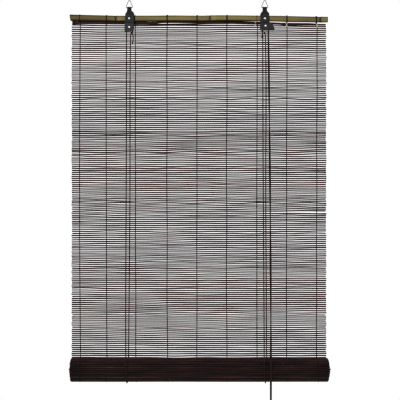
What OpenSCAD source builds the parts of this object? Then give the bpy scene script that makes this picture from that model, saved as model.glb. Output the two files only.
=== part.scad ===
// Bamboo roll-up blind on two ring hangers, partly raised. Millimetres.
// X runs across the blind, -Y faces the room and +Z is up. The origin lies midway
// between the two hooks, at the height where the wire rings bear on them.

/* [Reed mat] */
// Width of the mat, which is the length of one reed
mat_w = 600; // [440:10:1200]
// Height of one reed
reed_h = 2.6; // [2:0.1:2.6]
// Thickness of one reed
reed_t = 2.3; // [1.6:0.1:2.8]
// Spacing of the reeds
reed_pitch = 4.8; // [4.8:0.1:7]
// Depth from the hooks down to the axis of the roll
roll_drop = 865; // [300:1:1400]
// Length of mat that is wound on the roll
wound_len = 745; // [200:5:1600]
// Slack between two turns of the roll
turn_gap = 0.7; // [0.3:0.1:2]
// Width of one warp thread
thread_w = 1.8; // [1:0.1:3]
// Thickness of one warp thread
thread_t = 0.5; // [0.3:0.1:0.8]
// Left edge of the mat to its first warp column
warp_inset_left = 18.4; // [10:0.1:30]
// Right edge of the mat to its last warp column
warp_inset_right = 22.9; // [10:0.1:30]

/* [Head] */
// Diameter of the head cane
cane_d = 14; // [11:0.5:20]
// How far each end of the head cane stands out past the mat
cane_overhang = 3.5; // [0:0.5:20]
// Bore of the hollow head cane
cane_bore_d = 6; // [3:0.5:8]
// Length of cane between two of its nodes
cane_node_pitch = 220; // [80:1:260]
// How much longer each length between nodes is than the one on its left, mm
cane_node_growth = 40; // [0:1:60]
// Height of the lath under the cane
lath_h = 5.5; // [3:0.5:10]
// Thickness of the lath
lath_t = 3; // [2:0.5:5]
// Diameter of the cane at the core of the roll
core_d = 14; // [8:0.5:25]
// How far the mat hangs behind the axis of the head cane
mat_back = 3; // [2.6:0.1:5]

/* [Hangers] */
// Middle of the mat to the left hanger
hanger_left = 164; // [60:0.5:190]
// Middle of the mat to the right hanger
hanger_right = 155; // [60:0.5:190]
// Width of the strap over the cane
strap_w = 20.5; // [16:0.5:30]
// Width of the strap at the ring
neck_w = 10.2; // [7:0.1:10.8]
// Thickness of the strap
strap_t = 1.5; // [0.8:0.1:2.5]
// Ring bar to the axis of the head cane
strap_drop = 26.5; // [22:0.1:50]
// Outer width of the wire ring
ring_w = 16.6; // [16:0.1:30]
// Inner height of the wire ring
ring_h = 15.4; // [11:0.1:30]
// Diameter of the ring wire
ring_wire_d = 1.6; // [1:0.1:2.4]
// Shank diameter of all rivets
rivet_d = 3; // [2:0.1:4]
// Head diameter of all rivets
rivet_head_d = 4.8; // [4.4:0.1:8]

/* [Pulley and cord lock] */
// Sheet metal of the two housings
sheet_t = 1; // [0.6:0.1:1.2]
// Width of the housings under the strap
block_w = 22.5; // [20:0.5:30]
// Cane axis to the bottom edge of the housings
block_drop = 28.9; // [27:0.1:45]
// Cane axis to the axle of the pulley
pulley_drop = 20.1; // [17:0.1:21]
// Cane axis to the axle of the cord lock
lock_drop = 17; // [16.7:0.1:20]
// Cord lock axle to the right of its strap
lock_shift = 1.6; // [0:0.1:3]
// Radius of the quadrant that carries the lock roller
quadrant_r = 22.7; // [21.5:0.1:30]
// Diameter of a wheel at the middle of its cord
wheel_pitch_d = 13.2; // [10:0.1:13.4]
// Diameter of the lock roller
roller_d = 5; // [3:0.1:5.4]
// Diameter of the pins of the lock roller
roller_pin_d = 2; // [1.2:0.1:2.6]
// Travel of the lock roller in its slots
roller_travel = 7.2; // [3:0.1:7.4]

/* [Cords] */
// Diameter of the lift cords
cord_d = 2; // [1.2:0.1:2.1]

/* [Hidden] */
$fn = 64;

// Clearances
seat = 0.2;
run_gap = 0.3;
fit = 0.05;

// Heights, from the hooks down
bar_z = -(ring_h + ring_wire_d / 2);
cane_z = bar_z - strap_drop;
cane_r = cane_d / 2;
lath_gap = 0.5;
lath_top = cane_z - cane_r - lath_gap;
lath_bottom = lath_top - lath_h;
lash_t = 0.8;
lash_w = 3;
lash_bottom = lath_bottom - seat - lash_t;
mat_gap = 1;
mat_top = lash_bottom - mat_gap;
roll_z = -roll_drop;
mat_end_gap = 1;

// Depths, from the room side back
plate_back = -(cane_r + seat);
plate_front = plate_back - sheet_t;
strap_front = plate_front - strap_t;
leaf_back = cane_r + seat;
mat_front = mat_back - reed_t / 2;
mat_rear = mat_back + reed_t / 2;
cheek_back = mat_front - 1.05;
cheek_front = cheek_back - sheet_t;
channel_mid = (plate_back + cheek_front) / 2;
channel_w = cheek_front - plate_back;

// Reeds and the gaps between them: two of every seven gaps stay shut by a web
web_t = 1;
reed_chamfer = 0.7;
reed_count = floor((mat_top - reed_h - roll_z - mat_end_gap) / reed_pitch) + 1;
gap_cycle = 7;
shut_gaps = [3, 6];
function reed_z(i) = mat_top - reed_h / 2 - i * reed_pitch;
function gap_open(k) = len(search(k % gap_cycle, shut_gaps)) == 0;
group_starts = [for (i = [0 : reed_count - 1]) if (i == 0 || gap_open(i - 1)) i];
function group_end(g) = g + 1 < len(group_starts) ? group_starts[g + 1] - 1 : reed_count - 1;

// Warp columns: even spacing, each with the weaver's drift off it
warp_drift = [0, -7.5, -9, -4, -3.5, -3, -1.5, -1, 0];
warp_last = len(warp_drift) - 1;
warp_left_x = -mat_w / 2 + warp_inset_left;
warp_step = (mat_w - warp_inset_left - warp_inset_right) / warp_last;
warp_x = [for (i = [0 : warp_last]) warp_left_x + i * warp_step + warp_drift[i]];

// The roll: a spiral strip from the outer turn in to the core
core_r = core_d / 2;
turn_pitch = reed_t + turn_gap;
inner_turn_r = core_r + run_gap + reed_t / 2;
outer_turn_r = sqrt(pow(inner_turn_r, 2) + wound_len * turn_pitch / PI);
roll_r = outer_turn_r + reed_t / 2;
roll_y = mat_front - thread_t - run_gap - roll_r;
spiral_k = turn_pitch / (2 * PI);
function strip_turn(s) = (outer_turn_r - sqrt(pow(outer_turn_r, 2) - 2 * spiral_k * s)) / spiral_k;
function strip_point(turn, side) =
    let (a = -turn * 180 / PI, r = outer_turn_r - spiral_k * turn + side)
    [roll_y + r * cos(a), roll_z + r * sin(a)];
first_turn_len = 2 * PI * outer_turn_r - PI * turn_pitch;
ridge_count = floor(min(first_turn_len, wound_len - reed_pitch) / reed_pitch);
turn_steps = 24;
turn_step = 2 * PI / turn_steps;
last_turn = strip_turn(wound_len);
last_step = floor(last_turn / turn_step - 0.1);
ridged_steps = ceil(strip_turn(ridge_count * reed_pitch) / turn_step);

// Cord runs
cord_r = cord_d / 2;
cord_sides = 8;
cord_join = 0.3;
wheel_r = wheel_pitch_d / 2;
groove_off = 1.6;
groove_front = channel_mid - groove_off;
groove_rear = channel_mid + groove_off;
pulley_x = -hanger_left;
pulley_z = cane_z - pulley_drop;
lock_x = hanger_right + lock_shift;
lock_z = cane_z - lock_drop;
block_z = cane_z - block_drop;
lock_rise = 1;
lock_base_z = block_z + lock_rise;
sling_r = roll_r + run_gap + cord_r;
sling_rear_y = mat_rear + run_gap + cord_r;
sling_steps = 16;
wheel_steps = 6;
// Becket holes, where each lift cord is tied off: they look through the second open gap
becket_z = reed_z(1) - reed_pitch / 2;
becket_left_x = pulley_x + 9;
becket_right_x = hanger_right - 7;
becket_d = cord_d + 2 * seat;

// Lock roller at the low end of its slots
roller_x = hanger_right + 12.2;
roller_z = lock_base_z + 2.9;
slot_angle = 28;

// Colours
cane_colour = [0.55, 0.49, 0.31];
reed_colour = [0.17, 0.11, 0.10];
thread_colour = [0.10, 0.10, 0.13];
strap_colour = [0.13, 0.13, 0.14];
steel_colour = [0.24, 0.21, 0.20];
nickel_colour = [0.75, 0.75, 0.76];
wheel_colour = [0.20, 0.20, 0.20];
cord_colour = [0.20, 0.15, 0.14];

// Carries a YZ outline along X, from x0 for a length
module along_x(x0, length) {
    translate([x0, 0, 0]) rotate([90, 0, 90]) linear_extrude(length) children();
}

// Carries an XZ outline along Y, from y0 back to y1
module along_y(y0, y1) {
    translate([0, y1, 0]) rotate([90, 0, 0]) linear_extrude(y1 - y0) children();
}

// A round bar along Y, from y0 back to y1
module bar_y(x, z, r, y0, y1) {
    translate([x, y1, z]) rotate([90, 0, 0]) cylinder(h = y1 - y0, r = r);
}

// A straight run of ring wire between two bends of one XZ plane. Its ends lap into the
// bends, which the bending leaves a touch thicker.
module wire_between(a, b) {
    lap = 0.3;
    swell = 0.03;
    d = b - a;
    translate([a[0], 0, a[1]]) rotate([0, atan2(d[0], d[1]), 0]) translate([0, 0, -lap])
        cylinder(h = norm(d) + 2 * lap, r = ring_wire_d / 2 - swell);
}

// A dome head on the room side, standing on the plane y = y0
module dome_head(x, z, y0, height) {
    translate([x, y0, z]) rotate([90, 0, 0]) rotate_extrude() difference() {
        intersection() {
            head_r = rivet_head_d / 2;
            ball_r = (head_r * head_r + height * height) / (2 * height);
            translate([0, height - ball_r]) circle(ball_r);
            square([head_r, height]);
        }
    }
}

function unit(v) = v / norm(v);

// A tube along a route. side is a direction that the route never runs along, and
// each route point has its own radius.
module cord_tube(route, radii, side) {
    last = len(route) - 1;
    rings = [for (i = [0 : last])
        let (ahead = unit(route[min(i + 1, last)] - route[max(i - 1, 0)]),
            u = unit(cross(side, ahead)), v = cross(ahead, u))
        for (j = [0 : cord_sides - 1])
            let (a = 360 * j / cord_sides) route[i] + radii[i] * (cos(a) * u + sin(a) * v)];
    sides = [for (i = [0 : last - 1], j = [0 : cord_sides - 1])
        let (k = (j + 1) % cord_sides, low = i * cord_sides, high = low + cord_sides)
        each [[low + j, high + j, high + k], [low + j, high + k, low + k]]];
    start = [for (j = [0 : cord_sides - 1]) j];
    stop = [for (j = [0 : cord_sides - 1]) last * cord_sides + cord_sides - 1 - j];
    polyhedron(points = rings, faces = concat([start, stop], sides));
}

// A plain cord of even thickness. Each end stops just short of the run that carries on from it
module plain_cord(route, side) {
    last = len(route) - 1;
    trimmed = [for (i = [0 : last])
        i == 0 ? route[0] + cord_join * unit(route[1] - route[0])
        : i == last ? route[last] + cord_join * unit(route[last - 1] - route[last])
        : route[i]];
    color(cord_colour) cord_tube(trimmed, [for (p = trimmed) cord_r], side);
}

// Points round a wheel in its XZ plane, from one angle to another
function wheel_arc(x, y, z, from, to) = [for (i = [0 : wheel_steps])
    let (a = from + (to - from) * i / wheel_steps)
    [x + wheel_r * cos(a), y, z + wheel_r * sin(a)]];

// Angle, at the roll's axis, where a cord from the point (y, z) meets its sling circle
function meet_angle(y, z) =
    let (dy = y - roll_y, dz = z - roll_z)
    atan2(dz, dy) + acos(sling_r / norm([dy, dz]));

function on_roll(x, a, r) = [x, roll_y + r * cos(a), roll_z + r * sin(a)];

// Points of a sling: round the front and underside of the roll, then out behind the mat
function sling_route(front_x, rear_x, from) = [for (i = [0 : sling_steps])
    let (share = i / sling_steps, a = from + (360 - from) * share,
        lead = a > 270 ? (1 - cos(2 * (a - 270))) / 2 : 0,
        r = sling_r + lead * (sling_rear_y - roll_y - sling_r))
    on_roll(front_x + (rear_x - front_x) * share, a, r)];

// Where each lift cord crosses the roll
left_front_x = pulley_x - wheel_r;
left_sling_x = [-168.4, -166.4];
right_front_x = lock_x - wheel_r;
right_sling_x = [150.5, 159.8];
left_meet = meet_angle(groove_rear, pulley_z);
right_meet = meet_angle(groove_front, lock_z);

// The two pull strands: from the lock, over the front of the roll, down to their knot
pull_x = lock_x + wheel_r;
pull_roll_x = [164.4, 167.4];
pull_knot_x = [164.85, 166.95];
pull_mid_x = (pull_knot_x[0] + pull_knot_x[1]) / 2;
pull_groove = [groove_front, groove_rear];
pull_knot_z = roll_z - 71;
pull_knot_half = 4;
pull_tail_z = roll_z - 87;
pull_y = roll_y - sling_r;

// The point, part of the way down, where a front run hangs a little slack towards the mat
slack_share = 0.4;
slack_in = 1.5;
function slack_point(x, y, z, drift) = [x + drift, y + slack_share * (pull_y - y) + slack_in,
    z + slack_share * (roll_z - z)];

// Back runs, from the becket hole through the mat and down behind it to the sling
bend_r = 4;
back_lean_x = [-161.5, 157];
function back_route(becket_x, lean_x, rear_x) = concat(
    [[becket_x, cheek_front - seat, becket_z]],
    [for (a = [90, 60, 30, 0])
        [becket_x, mat_rear + 1 + bend_r * cos(a), becket_z - bend_r + bend_r * sin(a)]],
    [[lean_x, mat_rear + 4.9, becket_z - 10],
        [(2 * lean_x + rear_x) / 3, mat_rear + 3.4, (becket_z + roll_z) / 2],
        [rear_x, sling_rear_y, roll_z]]);

// Knot ends: a barrel in front of the rear cheek, then a tail that hangs
left_tail = [[-156.9, -101.5], [-155.2, -94], [-155, -84], [-156.6, -75]];
right_tail = [[147.4, -89.5], [148.2, -85], [149.4, -79], [149.6, -74]];

module head_cane() {
    length = mat_w + 2 * cane_overhang;
    lip = 0.5;
    lip_w = 2.5;
    first = -196 + length / 2;
    spots = [for (k = [0 : 15]) first + k * cane_node_pitch + cane_node_growth * k * (k - 1) / 2];
    marks = [for (m = spots) if (m < length - 2 * lip_w) m];
    rim = concat([[0, 0], [cane_r, 0]],
        [for (m = marks) each [[cane_r, m - lip_w], [cane_r + lip, m - lip_w / 2],
            [cane_r + lip, m], [cane_r - lip / 2, m + lip_w / 2], [cane_r, m + lip_w]]],
        [[cane_r, length], [0, length]]);
    left_bore = first - 6;
    right_bore = max(8, length - marks[len(marks) - 1] - 6);
    color(cane_colour) difference() {
        translate([-length / 2, 0, cane_z]) rotate([0, 90, 0]) difference() {
            rotate_extrude() polygon(rim);
            translate([0, 0, -1]) cylinder(h = left_bore + 1, d = cane_bore_d);
            translate([0, 0, length - right_bore]) cylinder(h = right_bore + 1, d = cane_bore_d);
        }
        for (x = [-hanger_left, hanger_right])
            bar_y(x, cane_z, rivet_d / 2 + fit, -2 * cane_r, 2 * cane_r);
    }
}

module top_lath() {
    edge = 0.6;
    color(reed_colour) along_x(-mat_w / 2, mat_w) translate([mat_back, lath_bottom])
        polygon([[-lath_t / 2, 0], [lath_t / 2, 0], [lath_t / 2, lath_h - edge],
            [lath_t / 2 - edge, lath_h], [edge - lath_t / 2, lath_h], [-lath_t / 2, lath_h - edge]]);
}

// One wrap of thread round cane and lath, seen along the cane
module lash_outline(grow) {
    translate([0, cane_z]) circle(cane_r + seat + 0.5 + grow);
    half = lath_t / 2 + seat + grow;
    translate([mat_back - half, lath_bottom - seat - grow]) square([2 * half, cane_z - lath_bottom + seat]);
}

module cane_lashings() {
    color(thread_colour) for (x = warp_x) along_x(x - lash_w / 2, lash_w) difference() {
        lash_outline(lash_t);
        lash_outline(0);
    }
}

// The strap seen from the side: a fold over the ring bar and two leaves astride the cane
fold_r = ring_wire_d / 2 + seat;
strap_knee = cane_z + cane_r + 3;

module strap_outside() {
    outer_r = fold_r + strap_t;
    fold = [for (a = [0 : 15 : 180]) [outer_r * cos(a), bar_z + outer_r * sin(a)]];
    polygon(concat([[leaf_back + strap_t, block_z], [leaf_back + strap_t, strap_knee]], fold,
        [[strap_front, strap_knee], [strap_front, block_z]]));
}

module strap_inside() {
    pinch = 0.8 * fold_r;
    below = block_z - 1;
    polygon([[leaf_back, below], [leaf_back, strap_knee], [pinch, bar_z], [-pinch, bar_z],
        [plate_front, strap_knee], [plate_front, below]]);
}

// The strap seen from the room: a narrow neck that widens to two shoulders
module strap_face(x) {
    top = bar_z + ring_wire_d / 2 + seat + 2 * strap_t;
    foot = cane_z - cane_r - 3.5;
    neck_end = cane_z + cane_r + 11;
    shoulder = cane_z + cane_r + 5;
    half_neck = neck_w / 2;
    half = strap_w / 2;
    translate([x, 0]) polygon([[-half_neck, top], [-half_neck, neck_end], [-half, shoulder], [-half, foot],
        [half, foot], [half, shoulder], [half_neck, neck_end], [half_neck, top]]);
}

module strap(x) {
    color(strap_colour) difference() {
        intersection() {
            difference() {
                along_x(x - strap_w, 2 * strap_w) strap_outside();
                along_x(x - 2 * strap_w, 4 * strap_w) strap_inside();
                translate([x - 2 * strap_w, 0, bar_z]) rotate([0, 90, 0]) cylinder(h = 4 * strap_w, r = fold_r);
            }
            along_y(2 * strap_front, 2 * (leaf_back + strap_t)) strap_face(x);
        }
        bar_y(x, cane_z, rivet_d / 2 + fit, 2 * strap_front, 2 * (leaf_back + strap_t));
    }
}

module left_strap() { strap(-hanger_left); }
module right_strap() { strap(hanger_right); }

// A three-cornered ring of bent wire; its foot bar lies in the fold of the strap
module ring(x) {
    wire_r = ring_wire_d / 2;
    bend = 2.2;
    foot = [ring_w / 2 - wire_r - bend, bar_z + bend];
    apex = [0, wire_r - bend];
    climb = unit(apex - foot);
    out = [climb[1], -climb[0]];
    lean = atan2(out[1], out[0]);
    color(nickel_colour) translate([x, 0, 0]) union() {
        wire_between([-foot[0], bar_z], [foot[0], bar_z]);
        for (flip = [0, 1]) mirror([flip, 0, 0]) {
            wire_between(foot + bend * out, apex + bend * out);
            wire_bend(foot, bend, -90, lean);
        }
        wire_bend(apex, bend, lean, 180 - lean);
    }
}

// A bend of the ring wire about one centre, from one angle to another
module wire_bend(centre, bend, from, to) {
    translate([centre[0], 0, centre[1]]) rotate([90, 0, 0]) rotate([0, 0, from])
        rotate_extrude(angle = to - from) translate([bend, 0]) circle(ring_wire_d / 2);
}

module left_ring() { ring(-hanger_left); }
module right_ring() { ring(hanger_right); }

// A tubular rivet through strap, housing tab and cane
module strap_rivet(x) {
    rear = leaf_back + strap_t;
    color(nickel_colour) union() {
        dome_head(x, cane_z, strap_front, 1.2);
        bar_y(x, cane_z, rivet_d / 2, strap_front, rear);
        bar_y(x, cane_z, rivet_head_d / 2, rear, rear + 0.7);
    }
}

module left_strap_rivet() { strap_rivet(-hanger_left); }
module right_strap_rivet() { strap_rivet(hanger_right); }

// The axle rivet of a wheel, headed on both cheeks
module axle_rivet(x, z) {
    color(nickel_colour) union() {
        dome_head(x, z, plate_front, 1.1);
        bar_y(x, z, rivet_d / 2, plate_front, cheek_back);
        bar_y(x, z, rivet_head_d / 2, cheek_back, cheek_back + 0.5);
    }
}

module pulley_rivet() { axle_rivet(pulley_x, pulley_z); }
module cord_lock_rivet() { axle_rivet(lock_x, lock_z); }

bridge_top = cane_z - cane_r - 0.5;

// Outline of the pulley housing's cheeks, with one clipped corner
module pulley_face() {
    clip = 2.5;
    half = block_w / 2;
    translate([pulley_x, 0]) polygon([[-half + 0.6, bridge_top], [half - 0.6, bridge_top],
        [half, block_z + clip], [half - clip, block_z], [-half, block_z]]);
}

// Outline of the lock's cheeks: a block with a quadrant on its right side
module lock_face() {
    clip = 2.6;
    half = block_w / 2;
    intersection() {
        translate([hanger_right - 2 * quadrant_r, lock_base_z])
            square([4 * quadrant_r, bridge_top - lock_base_z]);
        translate([hanger_right, 0]) union() {
            polygon([[-half + 0.4, bridge_top], [half - 1, bridge_top], [half - 1, lock_base_z],
                [clip - half, lock_base_z], [-half, lock_base_z + clip]]);
            translate([0, lock_base_z]) intersection() {
                circle(quadrant_r);
                square(2 * quadrant_r);
            }
        }
    }
}

// The tab that runs up behind the strap to its rivet
module tab_face(x) {
    tab_w = 12;
    translate([x - tab_w / 2, bridge_top - 2]) square([tab_w, cane_z - bridge_top + 2]);
    translate([x, cane_z]) circle(tab_w / 2);
}

// A stamped U of sheet metal: front cheek with tab, bridge under the cane, rear cheek
module housing(x, axle_x, axle_z, becket_x) {
    bridge_w = block_w - 4;
    difference() {
        union() {
            along_y(plate_front, plate_back) children();
            along_y(plate_front, plate_back) tab_face(x);
            along_y(cheek_front, cheek_back) children();
            along_y(plate_front, cheek_back) translate([x - bridge_w / 2, bridge_top - sheet_t])
                square([bridge_w, sheet_t]);
        }
        bar_y(x, cane_z, rivet_d / 2 + fit, 2 * plate_front, 0);
        bar_y(axle_x, axle_z, rivet_d / 2 + fit, 2 * plate_front, 2 * cane_r);
        bar_y(becket_x, becket_z, becket_d / 2, channel_mid, 2 * cane_r);
    }
}

module pulley_housing() {
    color(steel_colour) housing(-hanger_left, pulley_x, pulley_z, becket_left_x) pulley_face();
}

// The slot that the lock roller's pins ride in, or a shape that stands round it by grow
module slot_face(grow) {
    slot_r = roller_pin_d / 2 + fit + grow;
    translate([roller_x, roller_z]) rotate(-slot_angle) union() {
        circle(slot_r);
        translate([0, roller_travel]) circle(slot_r);
        translate([-slot_r, 0]) square([2 * slot_r, roller_travel]);
    }
}

// In front the slot is a groove inside a pressed rib, and behind it goes through the cheek
module cord_lock_housing() {
    rib_t = 0.8;
    color(steel_colour) difference() {
        union() {
            housing(hanger_right, lock_x, lock_z, becket_right_x) lock_face();
            along_y(plate_front - rib_t, plate_back) slot_face(1.2);
        }
        along_y(plate_front, 2 * cane_r) slot_face(0);
    }
}

// A wheel with two cord grooves, turned about its own axle
module wheel(x, z) {
    wheel_w = channel_w - 2 * run_gap;
    groove_r = cord_r + seat;
    rim_r = wheel_r + 0.8;
    bore_r = rivet_d / 2 + 2 * fit;
    color(wheel_colour) translate([x, channel_mid, z]) rotate([90, 0, 0]) rotate_extrude() difference() {
        translate([bore_r, -wheel_w / 2]) square([rim_r - bore_r, wheel_w]);
        for (side = [-1, 1]) translate([wheel_r, side * groove_off]) {
            circle(groove_r);
            translate([0, -groove_r]) square([rim_r, 2 * groove_r]);
        }
    }
}

module pulley_wheel() { wheel(pulley_x, pulley_z); }
module cord_lock_wheel() { wheel(lock_x, lock_z); }

// The loose roller that nips the pull strands, with a pin at each end
module cord_lock_roller() {
    waist = 0.4;
    half = channel_w / 2 - run_gap;
    color(nickel_colour) union() {
        bar_y(roller_x, roller_z, roller_pin_d / 2, plate_front + seat, cheek_back + seat);
        translate([roller_x, channel_mid, roller_z]) rotate([90, 0, 0]) rotate_extrude()
            polygon([[0, -half], [roller_d / 2, -half], [roller_d / 2, 1 - half], [roller_d / 2 - waist, 1.6 - half],
                [roller_d / 2 - waist, half - 1.6], [roller_d / 2, half - 1], [roller_d / 2, half], [0, half]]);
    }
}

// One side of a reed's outline, from its top edge down; dir is -1 at the room side
function reed_side(i, dir) =
    let (top = reed_z(i) + reed_h / 2, low = reed_z(i) - reed_h / 2)
    [[mat_back + dir * web_t / 2, top], [mat_back + dir * reed_t / 2, top - reed_chamfer],
        [mat_back + dir * reed_t / 2, low + reed_chamfer], [mat_back + dir * web_t / 2, low]];

// The mat: ridges for the reeds in one wall, with a gap after all but the webbed ones
module reed_mat() {
    tie_t = 0.7;
    color(reed_colour) union() {
        for (g = [0 : len(group_starts) - 1]) {
            first = group_starts[g];
            last = group_end(g);
            room = [for (i = [first : last]) each reed_side(i, -1)];
            wall = [for (i = [last : -1 : first], j = [3 : -1 : 0]) reed_side(i, 1)[j]];
            along_x(-mat_w / 2, mat_w) polygon(concat(room, wall));
        }
        for (x = [warp_x[0], warp_x[warp_last]])
            translate([x - thread_w / 2, mat_back - tie_t / 2, reed_z(reed_count - 1)])
                cube([thread_w, tie_t, reed_z(0) - reed_z(reed_count - 1)]);
    }
}

// The warp: one flat thread in front of the reeds and one behind them in each column
module warp_threads() {
    foot = roll_z + mat_end_gap;
    color(thread_colour) for (x = warp_x, y = [mat_front - thread_t, mat_rear])
        translate([x - thread_w / 2, y, foot]) cube([thread_w, thread_t, lash_bottom - foot]);
}

// The wound mat: one spiral strip, with its reeds showing as ridges round the outer turn
module rolled_mat() {
    half = reed_t / 2;
    low = web_t / 2;
    ridge = [[0, low], [reed_chamfer, half], [reed_h - reed_chamfer, half], [reed_h, low]];
    outside = concat(
        [for (i = [0 : ridge_count - 1], p = ridge) strip_point(strip_turn(i * reed_pitch + p[0]), p[1])],
        [for (i = [ridged_steps : last_step]) strip_point(i * turn_step, half)],
        [strip_point(last_turn, half)]);
    inside = [for (i = [last_step : -1 : 0]) strip_point(i * turn_step, -half)];
    color(reed_colour) along_x(-mat_w / 2, mat_w)
        polygon(concat(outside, [strip_point(last_turn, -half)], inside));
}

module core_cane() {
    color(cane_colour) translate([-mat_w / 2, roll_y, roll_z]) rotate([0, 90, 0]) difference() {
        cylinder(h = mat_w, r = core_r);
        for (z = [-1, mat_w - 40]) translate([0, 0, z]) cylinder(h = 41, d = cane_bore_d);
    }
}

// Front runs, from the wheels down to the front of the roll
module left_cord_front() {
    plain_cord([[left_front_x, groove_rear, pulley_z], slack_point(left_front_x, groove_rear, pulley_z, 0.8),
        on_roll(left_sling_x[0], left_meet, sling_r)], [1, 0, 0]);
}

module right_cord_front() {
    plain_cord([[right_front_x, groove_front, lock_z], slack_point(right_front_x, groove_front, lock_z, -0.2),
        on_roll(right_sling_x[0], right_meet, sling_r)], [1, 0, 0]);
}

module left_cord_back() { plain_cord(back_route(becket_left_x, back_lean_x[0], left_sling_x[1]), [1, 0, 0]); }
module right_cord_back() { plain_cord(back_route(becket_right_x, back_lean_x[1], right_sling_x[1]), [1, 0, 0]); }
module left_cord_sling() { plain_cord(sling_route(left_sling_x[0], left_sling_x[1], left_meet), [1, 0, 0]); }
module right_cord_sling() { plain_cord(sling_route(right_sling_x[0], right_sling_x[1], right_meet), [1, 0, 0]); }

// The left cord runs over its pulley, across under the cane and over the lock wheel
module left_cord_cross() {
    plain_cord(concat(wheel_arc(pulley_x, groove_rear, pulley_z, 180, 90),
        wheel_arc(lock_x, groove_rear, lock_z, 90, 0)), [0, 1, 0]);
}

module right_cord_bend() { plain_cord(wheel_arc(lock_x, groove_front, lock_z, 180, 0), [0, 1, 0]); }

// A knot in front of the rear cheek; its tail passes the points of the list, from the last up
module tied_end(becket_x, tail) {
    hang_y = cheek_front - 3.2;
    knot_r = 1.75 * cord_r;
    head = [[becket_x, cheek_front - seat, becket_z], [becket_x, cheek_front - 0.6, becket_z],
        [becket_x, cheek_front - 2.2, becket_z - 0.4], [becket_x, cheek_front - 3, becket_z - 2.4],
        [becket_x, hang_y, becket_z - 4]];
    drop = [for (i = [len(tail) - 1 : -1 : 0]) [tail[i][0], hang_y, tail[i][1]]];
    radii = concat([cord_r, knot_r, knot_r, knot_r, cord_r], [for (p = tail) cord_r]);
    color(cord_colour) cord_tube(concat(head, drop), radii, [1, 0, 0]);
}

module left_cord_knot() { tied_end(becket_left_x, left_tail); }
module right_cord_knot() { tied_end(becket_right_x, right_tail); }

function pull_meet(i) = meet_angle(pull_groove[i], lock_z);

module pull_cord_upper() {
    for (i = [0, 1]) plain_cord([[pull_x, pull_groove[i], lock_z],
        on_roll(pull_roll_x[i], pull_meet(i), sling_r)], [1, 0, 0]);
}

module pull_cord_lower() {
    for (i = [0, 1]) plain_cord([on_roll(pull_roll_x[i], pull_meet(i), sling_r),
        [pull_roll_x[i], pull_y, roll_z - 4], [pull_roll_x[i], pull_y, roll_z - 40],
        [pull_knot_x[i], pull_y, pull_knot_z + pull_knot_half]], [1, 0, 0]);
}

// The pull strands end together in one overhand knot with two short tails
module pull_cord_knot() {
    end_r = 2.3 * cord_r;
    belly_r = 3.2 * cord_r;
    belly = pull_knot_half / 2;
    heights = [pull_knot_half, belly, -belly, -pull_knot_half];
    color(cord_colour) cord_tube([for (h = heights) [pull_mid_x, pull_y, pull_knot_z + h]],
        [end_r, belly_r, belly_r, end_r], [1, 0, 0]);
    for (i = [0, 1]) plain_cord([[pull_knot_x[i], pull_y, pull_knot_z - pull_knot_half / 2],
        [pull_roll_x[i], pull_y, pull_tail_z]], [1, 0, 0]);
}

head_cane();
top_lath();
cane_lashings();
left_strap();
right_strap();
left_ring();
right_ring();
left_strap_rivet();
right_strap_rivet();
pulley_housing();
pulley_wheel();
pulley_rivet();
cord_lock_housing();
cord_lock_wheel();
cord_lock_rivet();
cord_lock_roller();
reed_mat();
warp_threads();
rolled_mat();
core_cane();
left_cord_front();
left_cord_back();
left_cord_cross();
left_cord_knot();
left_cord_sling();
right_cord_front();
right_cord_back();
right_cord_bend();
right_cord_knot();
right_cord_sling();
pull_cord_upper();
pull_cord_lower();
pull_cord_knot();
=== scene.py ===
# %% [markdown]
# # A bamboo roll-up blind
# The blind is a mat of thin dark reeds, tied side by side by nine columns of thread. It hangs
# from a natural cane, and cords at two places lift the roll at its foot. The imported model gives
# every size and joint, and this lesson gives each piece its own surface and finish.

import bpy
import numpy as np
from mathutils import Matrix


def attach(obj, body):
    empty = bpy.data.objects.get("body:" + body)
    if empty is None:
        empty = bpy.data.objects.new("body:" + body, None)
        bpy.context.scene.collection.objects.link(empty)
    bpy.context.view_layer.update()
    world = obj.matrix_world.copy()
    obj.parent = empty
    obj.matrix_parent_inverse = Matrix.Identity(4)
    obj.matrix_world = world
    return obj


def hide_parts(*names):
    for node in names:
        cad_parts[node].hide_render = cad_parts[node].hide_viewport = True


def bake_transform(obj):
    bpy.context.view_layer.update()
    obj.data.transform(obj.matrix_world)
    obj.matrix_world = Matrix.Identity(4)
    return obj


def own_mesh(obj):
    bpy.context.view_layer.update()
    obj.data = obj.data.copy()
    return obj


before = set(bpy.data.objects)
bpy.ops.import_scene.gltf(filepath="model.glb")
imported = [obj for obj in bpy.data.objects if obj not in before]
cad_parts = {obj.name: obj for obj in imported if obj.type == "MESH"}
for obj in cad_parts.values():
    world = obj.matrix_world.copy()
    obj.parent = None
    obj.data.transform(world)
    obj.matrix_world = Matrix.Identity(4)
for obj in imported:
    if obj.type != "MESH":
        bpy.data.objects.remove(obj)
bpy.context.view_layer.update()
MM = 0.001

# %% [markdown]
# ## The main sizes
# The places of the real pieces are given once, in millimetres, as the part's source has them.
# X runs to the right, Y runs away from the room and Z runs up, from the line of the two hooks.

# %% Sizes of cane, mat and roll
CANE_Z = -42.7
MAT_HALF = 300.0
MAT_Y = 3.0
MAT_TOP = -57.7
MAT_REAR = 4.15
PITCH = 4.8
REED_COUNT = 168
WARP_X = np.array([-281.6, -219.26, -150.93, -76.09, -5.75, 64.59, 135.93, 206.26, 277.1])
ROLL_Y = -28.079
ROLL_Z = -865.0
TURN_PITCH = 3.0
OUTER_TURN_R = 27.979
WOUND_LENGTH = 745.0
SLING_R = 30.429
LIFT = 700.0
print("hanging reeds:", REED_COUNT, "wound reeds:", int(WOUND_LENGTH / PITCH))

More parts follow.
